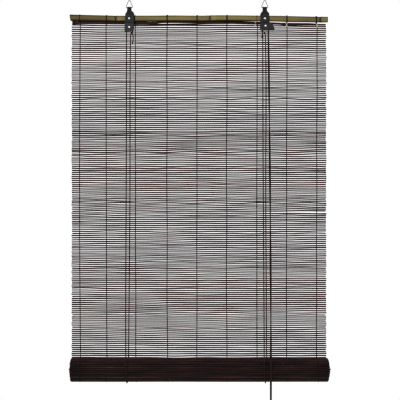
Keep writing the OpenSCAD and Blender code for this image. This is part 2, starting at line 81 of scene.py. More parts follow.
# %% [markdown]
# ## Camera and light
# The photograph looks straight at the blind from the room, with the whole drop in view, so the
# camera stands far off on a long lens. A camera without perspective would be simpler, but the
# roll stands nearer than the mat and looks larger. The world is white where the camera and
# reflections see it, and lights the blind evenly; three soft lamps shape it. The photograph is
# a little soft, so each pixel gathers light from more than its own width.

# %% Camera
PHOTO_CENTRE_X = 2.48
PHOTO_CENTRE_Z = -469.5
VIEW_SPAN = 943.76
CAMERA_Y = -2700.0
SENSOR_WIDTH = 36
FILM_WIDTH = 1.35
camera_data = bpy.data.cameras.new("room_camera")
camera = bpy.data.objects.new("room_camera", camera_data)
bpy.context.scene.collection.objects.link(camera)
camera.location = (PHOTO_CENTRE_X * MM, CAMERA_Y * MM, PHOTO_CENTRE_Z * MM)
camera.rotation_euler = (np.pi / 2, 0, 0)
camera_data.sensor_width = SENSOR_WIDTH
camera_data.lens = SENSOR_WIDTH * (MAT_Y - CAMERA_Y) / VIEW_SPAN
camera_data.clip_end = 20
bpy.context.scene.camera = camera
bpy.context.scene.view_settings.view_transform = "Standard"
bpy.context.scene.render.filter_size = FILM_WIDTH
bpy.context.scene.cycles.filter_width = FILM_WIDTH
print("lens", round(camera_data.lens, 1), "mm")

# %% World
ROOM_LIGHT = 0.45
world = bpy.data.worlds.new("white_room")
bpy.context.scene.world = world
world.use_nodes = True
sky = world.node_tree
sky.nodes.clear()
sky_out = sky.nodes.new("ShaderNodeOutputWorld")
sky_mix = sky.nodes.new("ShaderNodeMixShader")
ray = sky.nodes.new("ShaderNodeLightPath")
seen = ray.outputs["Is Camera Ray"]
for kind in ("Is Glossy Ray", "Is Transmission Ray"):
    either = sky.nodes.new("ShaderNodeMath")
    either.operation = "MAXIMUM"
    sky.links.new(seen, either.inputs[0])
    sky.links.new(ray.outputs[kind], either.inputs[1])
    seen = either.outputs[0]
sky.links.new(seen, sky_mix.inputs[0])
for way, strength in ((1, ROOM_LIGHT), (2, 1.0)):
    white = sky.nodes.new("ShaderNodeBackground")
    white.inputs["Color"].default_value = (1, 1, 1, 1)
    white.inputs["Strength"].default_value = strength
    sky.links.new(white.outputs[0], sky_mix.inputs[way])
sky.links.new(sky_mix.outputs[0], sky_out.inputs[0])
print("world light", ROOM_LIGHT)


# %% Lamps
def soft_lamp(name, place, target, size, power):
    """A square area lamp at place that faces target, both in metres."""
    data = bpy.data.lights.new(name, "AREA")
    data.size = size
    data.energy = power
    lamp = bpy.data.objects.new(name, data)
    bpy.context.scene.collection.objects.link(lamp)
    lamp.location = place
    aim = np.array(target) - np.array(place)
    flat = np.hypot(aim[0], aim[1])
    lamp.rotation_euler = (np.arctan2(flat, -aim[2]), 0, np.arctan2(-aim[0], aim[1]))
    return lamp


soft_lamp("key_lamp", (-0.9, -2.2, 0.3), (0, 0, -0.45), 0.9, 34)
soft_lamp("fill_lamp", (1.3, -1.9, -0.2), (0, 0, -0.5), 1.2, 14)
soft_lamp("back_lamp", (0.3, 1.8, 0.5), (0, 0, -0.4), 1.2, 12)
print("lamps: key, fill, back")

# %% [markdown]
# ## From a grid of points to a mesh
# Nearly every piece of a blind is long and round: reeds, threads, cords, the cane. Each could be
# a curve with a bevel, but then its thickness could not vary freely. Here a profile is carried
# along a path as one numpy array, and a single helper makes the faces, the map and the ends.


# %% Frames along paths
def unit(vectors):
    """Each vector divided by its length."""
    return vectors / np.maximum(np.linalg.norm(vectors, axis=-1, keepdims=True), 1e-12)


def path_frames(paths, side):
    """Two directions square to each path: side made square to the path's run, and run x side.
    paths has the shape (count, stations, 3); side is a direction that no path runs along."""
    run = unit(np.gradient(paths, axis=1))
    across = np.broadcast_to(np.asarray(side, float), paths.shape)
    first = unit(across - run * np.sum(across * run, axis=-1, keepdims=True))
    return first, np.cross(run, first)


def path_lengths(paths):
    """Length run along each path up to each of its stations."""
    steps = np.linalg.norm(np.diff(paths, axis=1), axis=-1)
    return np.concatenate([np.zeros((len(paths), 1)), np.cumsum(steps, axis=1)], axis=1)


def smooth_route(points, count):
    """A curve through the points with no kinks: on each leg it is the cubic whose slopes at the
    leg's ends are the step from the point before to the point after, over its length. count
    points, evenly spaced along the curve."""
    p = np.asarray(points, float)
    ends = np.concatenate([[2 * p[0] - p[1]], p, [2 * p[-1] - p[-2]]])
    spans = np.linalg.norm(np.diff(ends, axis=0), axis=1)
    knots = np.concatenate([[0], np.cumsum(spans)])
    slopes = (ends[2:] - ends[:-2]) / (knots[2:] - knots[:-2])[:, None]
    knots = knots[1:-1]
    t = np.linspace(knots[0], knots[-1], 40 * len(p))
    leg = np.clip(np.searchsorted(knots, t, side="right") - 1, 0, len(p) - 2)
    h = (knots[leg + 1] - knots[leg])[:, None]
    f = (t - knots[leg])[:, None] / h
    fine = (
        (2 * f**3 - 3 * f**2 + 1) * p[leg]
        + (f**3 - 2 * f**2 + f) * h * slopes[leg]
        + (3 * f**2 - 2 * f**3) * p[leg + 1]
        + (f**3 - f**2) * h * slopes[leg + 1]
    )
    run = path_lengths(fine[None])[0]
    even = np.linspace(0, run[-1], count)
    return np.stack([np.interp(even, run, fine[:, k]) for k in range(3)], axis=1)


print("frames and routes ready")


# %% Rings to mesh
def ring_faces(count, stations, sides):
    """Corner numbers of the quads of count tubes, and of their two end faces."""
    spans = np.arange(count), np.arange(stations - 1), np.arange(sides)
    tube, row, col = np.meshgrid(*spans, indexing="ij")
    base = (tube * stations + row) * sides
    after = (col + 1) % sides
    quads = np.stack([base + col, base + after, base + sides + after, base + sides + col], axis=-1)
    first = np.arange(count)[:, None] * stations * sides + np.arange(sides)[::-1]
    last = np.arange(count)[:, None] * stations * sides + (stations - 1) * sides + np.arange(sides)
    return quads.reshape(-1, 4), np.concatenate([first, last])


def put_piece(name, rings, material, body, nodes=(), tone=None, lengths=None):
    """A mesh from rings of the shape (count, stations, sides, 3) in millimetres. Its UV map has
    the share of the way round in U and the length along in V. tone is a number for each tube,
    each ring or each corner."""
    count, stations, sides = rings.shape[:3]
    points = rings.reshape(-1, 3) * MM
    quads, ends = ring_faces(count, stations, sides)
    corner = points[quads]
    volume = np.sum(np.cross(corner[:, 0], corner[:, 1]) * corner[:, 2])
    volume += np.sum(np.cross(corner[:, 0], corner[:, 2]) * corner[:, 3])
    if volume < 0:
        quads = quads[:, ::-1]
        ends = ends[:, ::-1]
    mesh = bpy.data.meshes.new(name)
    mesh.vertices.add(len(points))
    mesh.vertices.foreach_set("co", points.ravel())
    corners = np.concatenate([quads.ravel(), ends.ravel()])
    mesh.loops.add(len(corners))
    mesh.loops.foreach_set("vertex_index", corners.astype(np.int32))
    quad_starts = np.arange(len(quads)) * 4
    end_starts = len(quads) * 4 + np.arange(len(ends)) * sides
    starts = np.concatenate([quad_starts, end_starts])
    mesh.polygons.add(len(starts))
    mesh.polygons.foreach_set("loop_start", starts.astype(np.int32))
    mesh.update(calc_edges=True)
    mesh.validate()
    smooth = np.arange(len(starts)) < len(quads)
    mesh.polygons.foreach_set("use_smooth", smooth)
    if lengths is None:
        lengths = path_lengths(rings.mean(axis=2))
    share = (corners % sides) / sides
    wrapped = np.zeros(len(corners), bool)
    square = share[: len(quads) * 4].reshape(-1, 4)
    wrapped[: len(quads) * 4] = ((square == 0) & (square.max(axis=1, keepdims=True) > 0.6)).ravel()
    along = np.repeat(lengths.reshape(-1), sides)[corners]
    layer = mesh.uv_layers.new(name="length_map")
    layer.data.foreach_set("uv", np.stack([share + wrapped, along], axis=1).ravel())
    if tone is not None:
        shade = mesh.attributes.new("tone", "FLOAT", "POINT")
        tone = np.asarray(tone, float)
        tone = tone if tone.ndim == 3 else tone.reshape(count, -1, 1)
        every = np.broadcast_to(tone, (count, stations, sides))
        shade.data.foreach_set("value", np.ascontiguousarray(every, dtype=np.float32).ravel())
    mesh.materials.append(material)
    piece = bpy.data.objects.new(name, mesh)
    bpy.context.scene.collection.objects.link(piece)
    if body:
        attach(piece, body)
    if nodes:
        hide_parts(*nodes)
    print(name, "faces", len(starts))
    return piece


def round_rings(paths, radius, sides, side=(1, 0, 0)):
    """Rings of the given radius round each path: path + radius (cos a first + sin a second)."""
    paths = np.asarray(paths, float)
    first, second = path_frames(paths, side)
    angle = np.linspace(0, 2 * np.pi, sides, endpoint=False)
    thick = np.broadcast_to(np.asarray(radius, float), paths.shape[:2])[..., None, None]
    turn = np.cos(angle)[:, None] * first[:, :, None] + np.sin(angle)[:, None] * second[:, :, None]
    return paths[:, :, None] + thick * turn


print("mesh helpers ready")


# %% [markdown]
# ## Finishes
# Each finish is a Principled shader whose colour, roughness and bump come from noise or waves at
# the scale of the real surface. Pictures could do this too, but noise has no seams and can be
# changed by one number. A small helper makes and joins the nodes, so that each finish reads as
# a recipe: what varies, how finely, and by how much.


# %% Node helper
class Finish:
    """A material under construction: a Principled shader and the nodes that feed it."""

    def __init__(self, name, rough, metal=0.0, shine=0.5):
        self.material = bpy.data.materials.new(name)
        self.material.use_nodes = True
        self.tree = self.material.node_tree
        self.shader = self.tree.nodes["Principled BSDF"]
        self.shader.inputs["Roughness"].default_value = rough
        self.shader.inputs["Metallic"].default_value = metal
        self.shader.inputs["Specular IOR Level"].default_value = shine

    def node(self, kind, **inputs):
        """A new node; each input is a number, a colour or another node's output."""
        made = self.tree.nodes.new(kind)
        for label, value in inputs.items():
            self.feed(made.inputs[label.replace("_", " ")], value)
        return made

    def feed(self, socket, value):
        """Sets a socket to a value, or links it when the value is an output."""
        if isinstance(value, bpy.types.NodeSocket):
            self.tree.links.new(value, socket)
        else:
            socket.default_value = value

    def place(self, scale):
        """Object coordinates stretched by scale, so that a pattern can run along the grain."""
        where = self.node("ShaderNodeTexCoord").outputs["Object"]
        mapping = self.node("ShaderNodeMapping", Vector=where)
        mapping.inputs["Scale"].default_value = scale
        return mapping.outputs["Vector"]

    def noise(self, where, scale, detail=3.0, rough=0.55):
        """Cloudy noise from 0 to 1 at the given places."""
        made = self.node("ShaderNodeTexNoise", Vector=where, Scale=scale, Detail=detail, Roughness=rough)
        return made.outputs["Fac"]

    def ramp(self, value, stops):
        """A colour for each value, from a list of (position, colour) stops."""
        made = self.node("ShaderNodeValToRGB", Fac=value)
        line = made.color_ramp.elements
        while len(line) < len(stops):
            line.new(0.5)
        for element, (at, colour) in zip(line, stops):
            element.position = at
            element.color = (*colour, 1)
        return made.outputs["Color"]

    def colour(self, value, stops):
        """Lets the base colour follow a value through the stops."""
        self.feed(self.shader.inputs["Base Color"], self.ramp(value, stops))

    def tone(self):
        """The tone that a piece gives for each of its points."""
        made = self.node("ShaderNodeAttribute")
        made.attribute_name = "tone"
        return made.outputs["Fac"]

    def way_round(self):
        """The share of the way round a tube and the length along it, from its own map."""
        made = self.node("ShaderNodeUVMap")
        made.uv_map = "length_map"
        parts = self.node("ShaderNodeSeparateXYZ", Vector=made.outputs["UV"])
        return parts.outputs["X"], parts.outputs["Y"]

    def math(self, operation, *values):
        """One sum on one to three values."""
        made = self.tree.nodes.new("ShaderNodeMath")
        made.operation = operation
        for socket, value in zip(made.inputs, values):
            self.feed(socket, value)
        return made.outputs[0]

    def mix(self, factor, a, b):
        """Two colours mixed by a factor."""
        made = self.tree.nodes.new("ShaderNodeMix")
        made.data_type = "RGBA"
        self.feed(made.inputs["Factor"], factor)
        self.feed(made.inputs["A"], a)
        self.feed(made.inputs["B"], b)
        return made.outputs["Result"]

    def bump(self, height, strength, distance):
        """Relief on the surface: distance is the height of a full step, in metres."""
        made = self.node("ShaderNodeBump", Height=height, Strength=strength, Distance=distance)
        self.feed(self.shader.inputs["Normal"], made.outputs["Normal"])


def linear(*rgb):
    """A colour written as screen values 0 to 255, turned into the linear values that nodes use."""
    c = np.array(rgb) / 255
    return tuple(float(v) for v in np.where(c <= 0.04045, c / 12.92, ((c + 0.055) / 1.055) ** 2.4))


print("finish helper ready")

# %% [markdown]
# ### Braided lift cord
# The cords are dark brown braid, two and a half millimetres thick. Modelled plaits would take
# many faces for a detail finer than a pixel, so the braid is in the finish: the cord's map gives
# the way round and the length along, and two slanting waves cross in it as the plaits.

# %% Lift cord finish
PLAITS_ROUND = 4
PLAIT_SLANT = 2.2
cord_finish = Finish("braided_lift_cord", 0.85, shine=0.1)
cord_share, cord_length = cord_finish.way_round()
cord_round = cord_finish.math("MULTIPLY", cord_share, 2 * np.pi * PLAITS_ROUND)
cord_along = cord_finish.math("MULTIPLY", cord_length, PLAIT_SLANT)
plait_left = cord_finish.math("SINE", cord_finish.math("ADD", cord_round, cord_along))
plait_right = cord_finish.math("SINE", cord_finish.math("SUBTRACT", cord_round, cord_along))
plaits = cord_finish.math("MAXIMUM", plait_left, plait_right)
cord_fuzz = cord_finish.noise(cord_finish.place((1, 1, 1)), 900, 2)
# Painted shade: the colour is darker in the furrows between the plaits.
cord_shade = cord_finish.math("MULTIPLY_ADD", plaits, 0.28, 0.45)
cord_value = cord_finish.math("MULTIPLY_ADD", cord_fuzz, 0.3, cord_shade)
cord_finish.colour(cord_value, [(0.25, linear(10, 6, 6)), (1.0, linear(42, 29, 27))])
cord_finish.bump(plaits, 0.8, 0.0003)
lift_cord = cord_finish.material
print("finish:", lift_cord.name)

# %% [markdown]
# ## The cords
# On each side a cord goes from a knot at the housing down behind the mat, under the roll and up
# its front, then over a wheel, and the two leave the lock together as the pull cord. Each run
# follows the same points as its solid, on one smooth curve. A simulated rope would come to rest
# elsewhere, so the points are given. The front runs bow a little into the room above the roll,
# which leaves room for the lifted roll.

# %% Points on the roll and the wheels
CORD_D = 2.5
GROOVE_FRONT = -5.3
GROOVE_REAR = -2.1
PULLEY = (-164.0, -62.8)
LOCK = (156.6, -59.7)
WHEEL_R = 6.6
# X of each cord in front of the roll and behind it
LEFT_FOOT = (-168.4, -166.4)
RIGHT_FOOT = (150.5, 159.8)


def meet_angle(y, z):
    """Angle at the roll's axis where a straight cord from (y, z) touches the sling's circle:
    the direction to the point plus the arc cosine of radius over distance."""
    dy = y - ROLL_Y
    dz = z - ROLL_Z
    return np.arctan2(dz, dy) + np.arccos(SLING_R / np.hypot(dy, dz))


def on_roll(x, angle, radius):
    """Points at an angle and a radius round the roll's axis."""
    spots = np.broadcast_arrays(x, ROLL_Y + radius * np.cos(angle), ROLL_Z + radius * np.sin(angle))
    return np.stack(spots, axis=-1)


def wheel_arc(centre, y, start, stop, count):
    """Points on a wheel's groove from one angle to another, in degrees."""
    a = np.radians(np.linspace(start, stop, count))
    x = centre[0] + WHEEL_R * np.cos(a)
    z = centre[1] + WHEEL_R * np.sin(a)
    return np.stack([x, np.full(count, y), z], axis=1)


left_meet = meet_angle(GROOVE_REAR, PULLEY[1])
right_meet = meet_angle(GROOVE_FRONT, LOCK[1])
print("cords meet the roll at", np.round(np.degrees([left_meet, right_meet]), 1), "degrees")


# %% Cord maker
def lay_cord(name, route, body, nodes, side=(1, 0, 0)):
    """A braided cord along a route in millimetres, its map running along the route's measured length."""
    route = np.asarray(route, float)
    rings = round_rings(route[None], CORD_D / 2, 10, side)
    lengths = path_lengths(route[None])
    piece = put_piece(name, rings, lift_cord, body, nodes, lengths=lengths)
    return piece


def keep_for(top):
    """The share of its height that a run keeps when the roll is lifted: all but the lift."""
    return 1 - LIFT / (top - ROLL_Z)


print("strands keep", round(keep_for(PULLEY[1]), 3))

# %% Front runs
left_front_route = smooth_route(
    [
        (-170.6, GROOVE_REAR, PULLEY[1]),
        (-169.8, -23.16, -383.7),
        (-169.0, -56.9, -742.0),
        on_roll(LEFT_FOOT[0], left_meet, SLING_R),
    ],
    90,
)
right_front_route = smooth_route(
    [
        (150.0, GROOVE_FRONT, LOCK[1]),
        (149.8, -25.08, -381.8),
        (150.2, -56.9, -740.0),
        on_roll(RIGHT_FOOT[0], right_meet, SLING_R),
    ],
    90,
)
left_front = lay_cord("left_front_run", left_front_route, "head", ["left_cord_front"])
right_front = lay_cord("right_front_run", right_front_route, "head", ["right_cord_front"])
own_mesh(left_front)
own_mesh(right_front)


# %% Slings under the roll
REAR_Y = 5.45


def sling_route(front_x, rear_x, start):
    """Round the front and underside of the roll; past the lowest point the radius eases out, by
    half of one minus the cosine of twice the angle, so that the cord leaves behind the mat."""
    share = np.linspace(0, 1, 40)
    a = start + (2 * np.pi - start) * share
    ease = np.where(a > 1.5 * np.pi, (1 - np.cos(2 * (a - 1.5 * np.pi))) / 2, 0)
    radius = SLING_R + ease * (REAR_Y - ROLL_Y - SLING_R)
    return on_roll(front_x + (rear_x - front_x) * share, a, radius)


lay_cord("left_sling", sling_route(*LEFT_FOOT, left_meet), "slings", ["left_cord_sling"])
lay_cord("right_sling", sling_route(*RIGHT_FOOT, right_meet), "slings", ["right_cord_sling"])

# %% Back runs
BECKET_Z = -66.2
BECKET_Y = -0.4
BECKET_X = (-155.0, 148.0)
BEND_R = 4


def back_route(becket_x, lean_x, rear_x):
    """From the housing's hole through the mat, round a small bend and down to the sling."""
    bend = np.radians([90, 60, 30, 0])
    bend_y = MAT_REAR + 1 + BEND_R * np.cos(bend)
    bend_z = BECKET_Z - BEND_R + BEND_R * np.sin(bend)
    turn = [(becket_x, y, z) for y, z in zip(bend_y, bend_z)]
    run = [
        (lean_x, MAT_REAR + 4.9, BECKET_Z - 10),
        ((2 * lean_x + rear_x) / 3, MAT_REAR + 3.4, (BECKET_Z + ROLL_Z) / 2),
        (rear_x, REAR_Y, ROLL_Z),
    ]
    return smooth_route([(becket_x, BECKET_Y, BECKET_Z)] + turn + run, 120)


left_back_route = back_route(BECKET_X[0], -161.5, LEFT_FOOT[1])
right_back_route = back_route(BECKET_X[1], 157, RIGHT_FOOT[1])
left_back = lay_cord("left_back_run", left_back_route, "head", ["left_cord_back"])
right_back = lay_cord("right_back_run", right_back_route, "head", ["right_cord_back"])
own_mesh(left_back)
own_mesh(right_back)

# %% Cross run and lock bend
cross_route = np.concatenate(
    [
        wheel_arc(PULLEY, GROOVE_REAR, 180, 90, 10),
        np.linspace((-160, GROOVE_REAR, PULLEY[1] + 6.65), (152.6, GROOVE_REAR, LOCK[1] + 6.55), 20),
        wheel_arc(LOCK, GROOVE_REAR, 90, 0, 10),
    ]
)
lay_cord("cross_run", cross_route, "head", ["left_cord_cross"], (0, 1, 0))
bend_route = wheel_arc(LOCK, GROOVE_FRONT, 180, 0, 18)
lay_cord("lock_bend", bend_route, "head", ["right_cord_bend"], (0, 1, 0))


# %% Knots at the housings
KNOT_COIL_R = 1.15
KNOT_COIL_Y = -2.7
TAIL_Y = -3.4


def tied_knot(becket_x, tail):
    """The cord comes out of the hole, makes two turns of a coil round its own standing part, each
    turn a little lower than the last, and leaves downwards through the tail's points."""
    turn = np.linspace(0, 4 * np.pi, 26)
    coil_x = becket_x + KNOT_COIL_R * np.sin(turn)
    coil_y = KNOT_COIL_Y - KNOT_COIL_R * np.cos(turn)
    coil_z = BECKET_Z + 1.6 - 3.8 * turn / turn[-1]
    coil = np.stack([coil_x, coil_y, coil_z], axis=1)
    return smooth_route(np.concatenate([[(becket_x, BECKET_Y, BECKET_Z)], coil, tail]), 110)


left_spots = [(-155.4, -71.0), (-156.6, -75), (-155, -84), (-155.2, -94), (-156.9, -101.5)]
right_spots = [(148.8, -71.0), (149.6, -74), (149.4, -79), (148.2, -85), (147.4, -89.5)]
left_tail = [(x, TAIL_Y, z) for x, z in left_spots]
right_tail = [(x, TAIL_Y, z) for x, z in right_spots]
left_knot = tied_knot(BECKET_X[0], left_tail[:1])
right_knot = tied_knot(BECKET_X[1], right_tail)
lay_cord("left_tied_knot", left_knot, "head", ["left_cord_knot"], (0.9, 0.3, 0.1))
lay_cord("left_tail", smooth_route(left_tail, 24), "head", [])
lay_cord("right_tied_knot", right_knot, "head", ["right_cord_knot"], (0.9, 0.3, 0.1))

# %% [markdown]
# ### The pull cord
# Two strands leave the lock one behind the other and twist loosely round each other on the way
# down. One thick cord would be simpler, but it would not show where they cross. Half of the
# distance between them is the twist's radius, and its angle grows along the run, so at the roll
# they lie side by side. Below it they hang nearly straight to their knot.

# %% Pull strands
PULL_X = 165.9
PULL_Y = ROLL_Y - SLING_R
KNOT_Z = -936.0
KNOT_TOP = KNOT_Z + 4
pull_meet = [meet_angle(GROOVE_FRONT, LOCK[1]), meet_angle(GROOVE_REAR, LOCK[1])]
pull_top = np.array([163.2, (GROOVE_FRONT + GROOVE_REAR) / 2, LOCK[1]])
pull_low = (on_roll(164.4, pull_meet[0], SLING_R) + on_roll(167.4, pull_meet[1], SLING_R)) / 2


def twisted(line, gap, start, turns):
    """Two strands about a line: each is half the gap away from it, on opposite sides, at an angle
    in the XY plane that runs evenly from start through the given turns."""
    share = np.linspace(0, 1, len(line))
    angle = start + 2 * np.pi * turns * share
    off = np.stack([np.cos(angle), np.sin(angle), 0 * angle], axis=1) * (gap / 2)[:, None]
    return line + off, line - off


drop_share = np.linspace(0, 1, 160)
upper_line = pull_top + (pull_low - pull_top) * drop_share[:, None]
upper_line[:, 0] += 1.2 * np.sin(np.pi * drop_share)
upper_line[:, 1] -= 6.0 * np.sin(np.pi * drop_share**4)
near_top = np.maximum(1 - drop_share * 12, 0)
near_roll = np.maximum(1 - (1 - drop_share) * 12, 0)
upper_gap = 2.2 + 1.0 * near_top + 0.8 * near_roll
upper_pair = twisted(upper_line, upper_gap, -np.pi / 2, 1.75)
fall = np.linspace(0, 1, 70)
lower_z = pull_low[2] + (KNOT_TOP - pull_low[2]) * fall
lower_line = np.stack([np.full(70, PULL_X), np.full(70, PULL_Y), lower_z], axis=1)
lower_gap = 2.4 + 0.6 * np.maximum(1 - fall * 5, 0)
lower_pair = twisted(lower_line, lower_gap, np.pi, 0.08)
for label, upper, lower in zip(("near", "far"), upper_pair, lower_pair):
    drawn = lay_cord(f"pull_{label}_upper", upper, "head", ["pull_cord_upper"])
    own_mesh(drawn)
    loose = lay_cord(f"pull_{label}_lower", lower, None, ["pull_cord_lower"])
    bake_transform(loose)

# %% Pull knot
PULL_COIL_R = 2.15
coil_turn = np.linspace(0, 6 * np.pi, 60)
coil_x = PULL_X + PULL_COIL_R * np.cos(coil_turn)
coil_y = PULL_Y + PULL_COIL_R * np.sin(coil_turn)
coil_z = KNOT_Z + 3.1 - 6.2 * coil_turn / coil_turn[-1]
coil = np.stack([coil_x, coil_y, coil_z], axis=1)
lay_cord("pull_knot_wraps", coil, "head", ["pull_cord_knot"], (0, 0, 1))
tail_share = np.linspace(0, 1, 24)
tail_z = KNOT_Z + 5 - 21 * tail_share
for label, away in (("near", -1), ("far", 1)):
    tail_x = PULL_X + away * (1.0 + 0.7 * tail_share**2)
    tail = np.stack([tail_x, PULL_Y + 0.3 * away * np.sin(5 * tail_share), tail_z], axis=1)
    lay_cord(f"pull_{label}_tail", tail, "head", ["pull_cord_knot"])

# %% [markdown]
# ## The reeds
# Each reed is a split stick, stained nearly black, and no two are alike: they wander a little up
# and down between the threads, swell and thin, and end at slightly different lengths. A box for
# each would look like a louvre, so each is a tube of six sides with its own slow waves.

# %% Stained reed finish
reed_finish = Finish("stained_reed", 0.5, shine=0.06)
reed_streak = reed_finish.noise(reed_finish.place((12, 420, 420)), 1.0, 4, 0.6)
reed_patch = reed_finish.noise(reed_finish.place((16, 260, 260)), 1.0, 2)
reed_value = reed_finish.math("MULTIPLY_ADD", reed_streak, 0.55, reed_finish.tone())
reed_value = reed_finish.math("MULTIPLY_ADD", reed_patch, 1.1, reed_value)
reed_value = reed_finish.math("SUBTRACT", reed_value, 0.375)
reed_stain = reed_finish.ramp(
    reed_value,
    [
        (0.25, linear(14, 9, 9)),
        (0.55, linear(31, 19, 18)),
        (0.8, linear(54, 29, 27)),
        (1.0, linear(84, 52, 43)),
    ],
)
reed_fleck = reed_finish.noise(reed_finish.place((60, 260, 260)), 1.0, 1)
reed_chip = reed_finish.ramp(reed_fleck, [(0.8, (0, 0, 0)), (0.86, (1, 1, 1))])
reed_finish.feed(
    reed_finish.shader.inputs["Base Color"],
    reed_finish.mix(reed_chip, reed_stain, (*linear(150, 122, 84), 1)),
)
reed_finish.feed(
    reed_finish.shader.inputs["Roughness"],
    reed_finish.math("MULTIPLY_ADD", reed_streak, 0.3, 0.35),
)
reed_finish.bump(reed_streak, 0.5, 0.0002)
stained_reed = reed_finish.material
print("finish:", stained_reed.name)


# %% Shape of a reed
HEAD_X = [-303.5, -196, -60, 10, 45, 110, 190, 280, 303.5]
HEAD_LIFT = [2.8, 0.3, 1.4, 0.6, 1.5, 0.9, 0.4, -1.6, -1.4]


def settle(x):
    """How far the head of the blind lies off level at x: the cane is straight between a few
    places and bends at them."""
    return np.interp(x, HEAD_X, HEAD_LIFT)


def slow_waves(rng, count, x, sizes, lengths):
    """For each reed or thread, a sum of sine waves along x with random size, length and start."""
    total = np.zeros((count, len(x)))
    for size, length in zip(sizes, lengths):
        high = size * rng.normal(size=(count, 1))
        stretch = length * rng.uniform(0.7, 1.4, size=(count, 1))
        total += high * np.sin(2 * np.pi * (x[None] / stretch + rng.uniform(size=(count, 1))))
    return total


REED_SIDES = np.radians([25, 90, 155, 205, 270, 335])


def reed_rings(paths, tall, thick, out):
    """Six-sided rings for reeds along X: tall across the mat's plane and thick along out, which
    is the direction out of the mat for each reed."""
    across = np.cross(np.array([1.0, 0, 0]), out)
    up = np.cos(REED_SIDES) / 0.906
    ahead = np.sin(REED_SIDES)
    high = (tall / 2)[:, :, None, None] * up[:, None] * across[:, None, None]
    deep = (thick / 2)[:, :, None, None] * ahead[:, None] * out[:, None, None]
    return paths[:, :, None] + high + deep


print("droop of the head, left to right:", round(settle(-300.0), 2), round(settle(300.0), 2))

# %% Places of the hanging reeds
REED_H = 3.25
REED_T = 2.3
FIRST_REED_Z = MAT_TOP - 1.3
WIDE_GAP_ROW = 91.5
WIDE_GAP_RISE = 1.1
rng = np.random.default_rng(41)
reed_x = np.linspace(-1, 1, 31)
reach = MAT_HALF + rng.normal(0, 0.55, size=(REED_COUNT, 1))
station_x = reed_x[None] * reach
reed_row = np.arange(REED_COUNT)[:, None]
reed_z = FIRST_REED_Z - PITCH * reed_row
hang = np.exp(-reed_row / 5) * settle(station_x)
wander = slow_waves(rng, REED_COUNT, reed_x * MAT_HALF, (0.14, 0.22), (340, 105))
shared = slow_waves(rng, REED_COUNT, reed_x * MAT_HALF, (1.0, 0.8, 1.0), (600, 230, 115))
shared = np.apply_along_axis(np.convolve, 0, shared, np.hanning(13)[1:-1] / 6, "same")
past_gap = WIDE_GAP_ROW - reed_row
wide_gap = np.exp(-(past_gap**2) / 2) * np.sign(past_gap)
wide_gap = wide_gap * WIDE_GAP_RISE * np.clip((station_x - 120) / 120, 0, 1)
calm = 1 - 0.75 * np.exp(-reed_row / 2)
thin_lath = np.interp(station_x, [-115, -85, 5, 45], [0, 1, 1, 0])
first_rise = np.exp(-reed_row / 0.8) * thin_lath
reed_centre = reed_z + hang + calm * (wander + shared) + wide_gap + first_rise
reed_depth = MAT_Y + slow_waves(rng, REED_COUNT, reed_x * MAT_HALF, (0.12,), (300,))
reed_paths = np.stack([station_x, reed_depth, reed_centre], axis=-1)
print("middle of the lowest reed:", round(float(reed_centre.min()), 1), "mm")

# %% Sizes and tones of the hanging reeds
STOUT_ROW = [0, 14, 40, 80, 92, 167]
STOUT_SHARE = [-0.03, -0.12, 0.01, 0.06, 0.02, 0.025]
stouter = np.interp(reed_row, STOUT_ROW, STOUT_SHARE)
reed_tall = REED_H * (1 + stouter + rng.normal(0, 0.055, size=(REED_COUNT, 1)))
reed_waves = slow_waves(rng, REED_COUNT, reed_x * MAT_HALF, (0.12,), (260,))
reed_tall = reed_tall + reed_waves + 0.8 * first_rise
reed_thick = np.full_like(reed_tall, REED_T) * (1 + rng.normal(0, 0.04, size=(REED_COUNT, 1)))
room_side = np.broadcast_to(np.array([0.0, -1, 0]), (REED_COUNT, 3))
reed_tones = rng.normal(0.2, 0.07, size=REED_COUNT)
hanging_reeds = put_piece(
    "hanging_reeds",
    reed_rings(reed_paths, reed_tall, reed_thick, room_side),
    stained_reed,
    "head",
    ["reed_mat"],
    reed_tones,
)
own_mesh(hanging_reeds)

# %% [markdown]
# ## The roll
# The foot of the mat is wound six and a half times round a thin cane. A ridged cylinder would do
# from the front, but its ends would show no turns. So the reeds lie on a spiral: the radius falls
# by one turn's thickness each time round, and each reed is one pitch further along the strip.
# The reeds ride on the roll's own body, because it turns as it climbs.


# %% Spiral of wound reeds
def strip_turn(length):
    """Angle turned after a length of strip: the arc length of a spiral whose radius falls evenly,
    solved for the angle."""
    k = TURN_PITCH / (2 * np.pi)
    return (OUTER_TURN_R - np.sqrt(OUTER_TURN_R**2 - 2 * k * length)) / k


WOUND_REED_H = 3.5
wound = np.arange(0.5, WOUND_LENGTH / PITCH - 0.5)
turned = strip_turn(wound * PITCH) + rng.normal(0, 0.012, size=len(wound))
turn_r = OUTER_TURN_R - TURN_PITCH / (2 * np.pi) * turned
roll_x = np.linspace(-1, 1, 11)
inward = (1 - (turn_r / OUTER_TURN_R) ** 2)[:, None]
roll_reach = MAT_HALF - 1 + 4 * inward + rng.normal(0, 0.6, size=(len(wound), 1))
roll_wander = slow_waves(rng, len(wound), roll_x * MAT_HALF, (0.008, 0.006), (400, 160))
roll_angle = -turned[:, None] + roll_wander
roll_radius = turn_r[:, None] + slow_waves(rng, len(wound), roll_x * MAT_HALF, (0.16,), (330,))
roll_paths = on_roll(1 + inward + roll_x[None] * roll_reach, roll_angle, roll_radius)
roll_tall = WOUND_REED_H * (1 + rng.normal(0, 0.08, size=(len(wound), 1))) + 0 * roll_radius
roll_thick = np.full_like(roll_tall, REED_T)
outward = np.stack([0 * turned, np.cos(-turned), np.sin(-turned)], axis=-1)
put_piece(
    "rolled_reeds",
    reed_rings(roll_paths, roll_tall, roll_thick, outward),
    stained_reed,
    "roll",
    ["rolled_mat"],
    rng.normal(0.06, 0.08, size=len(wound)),
)

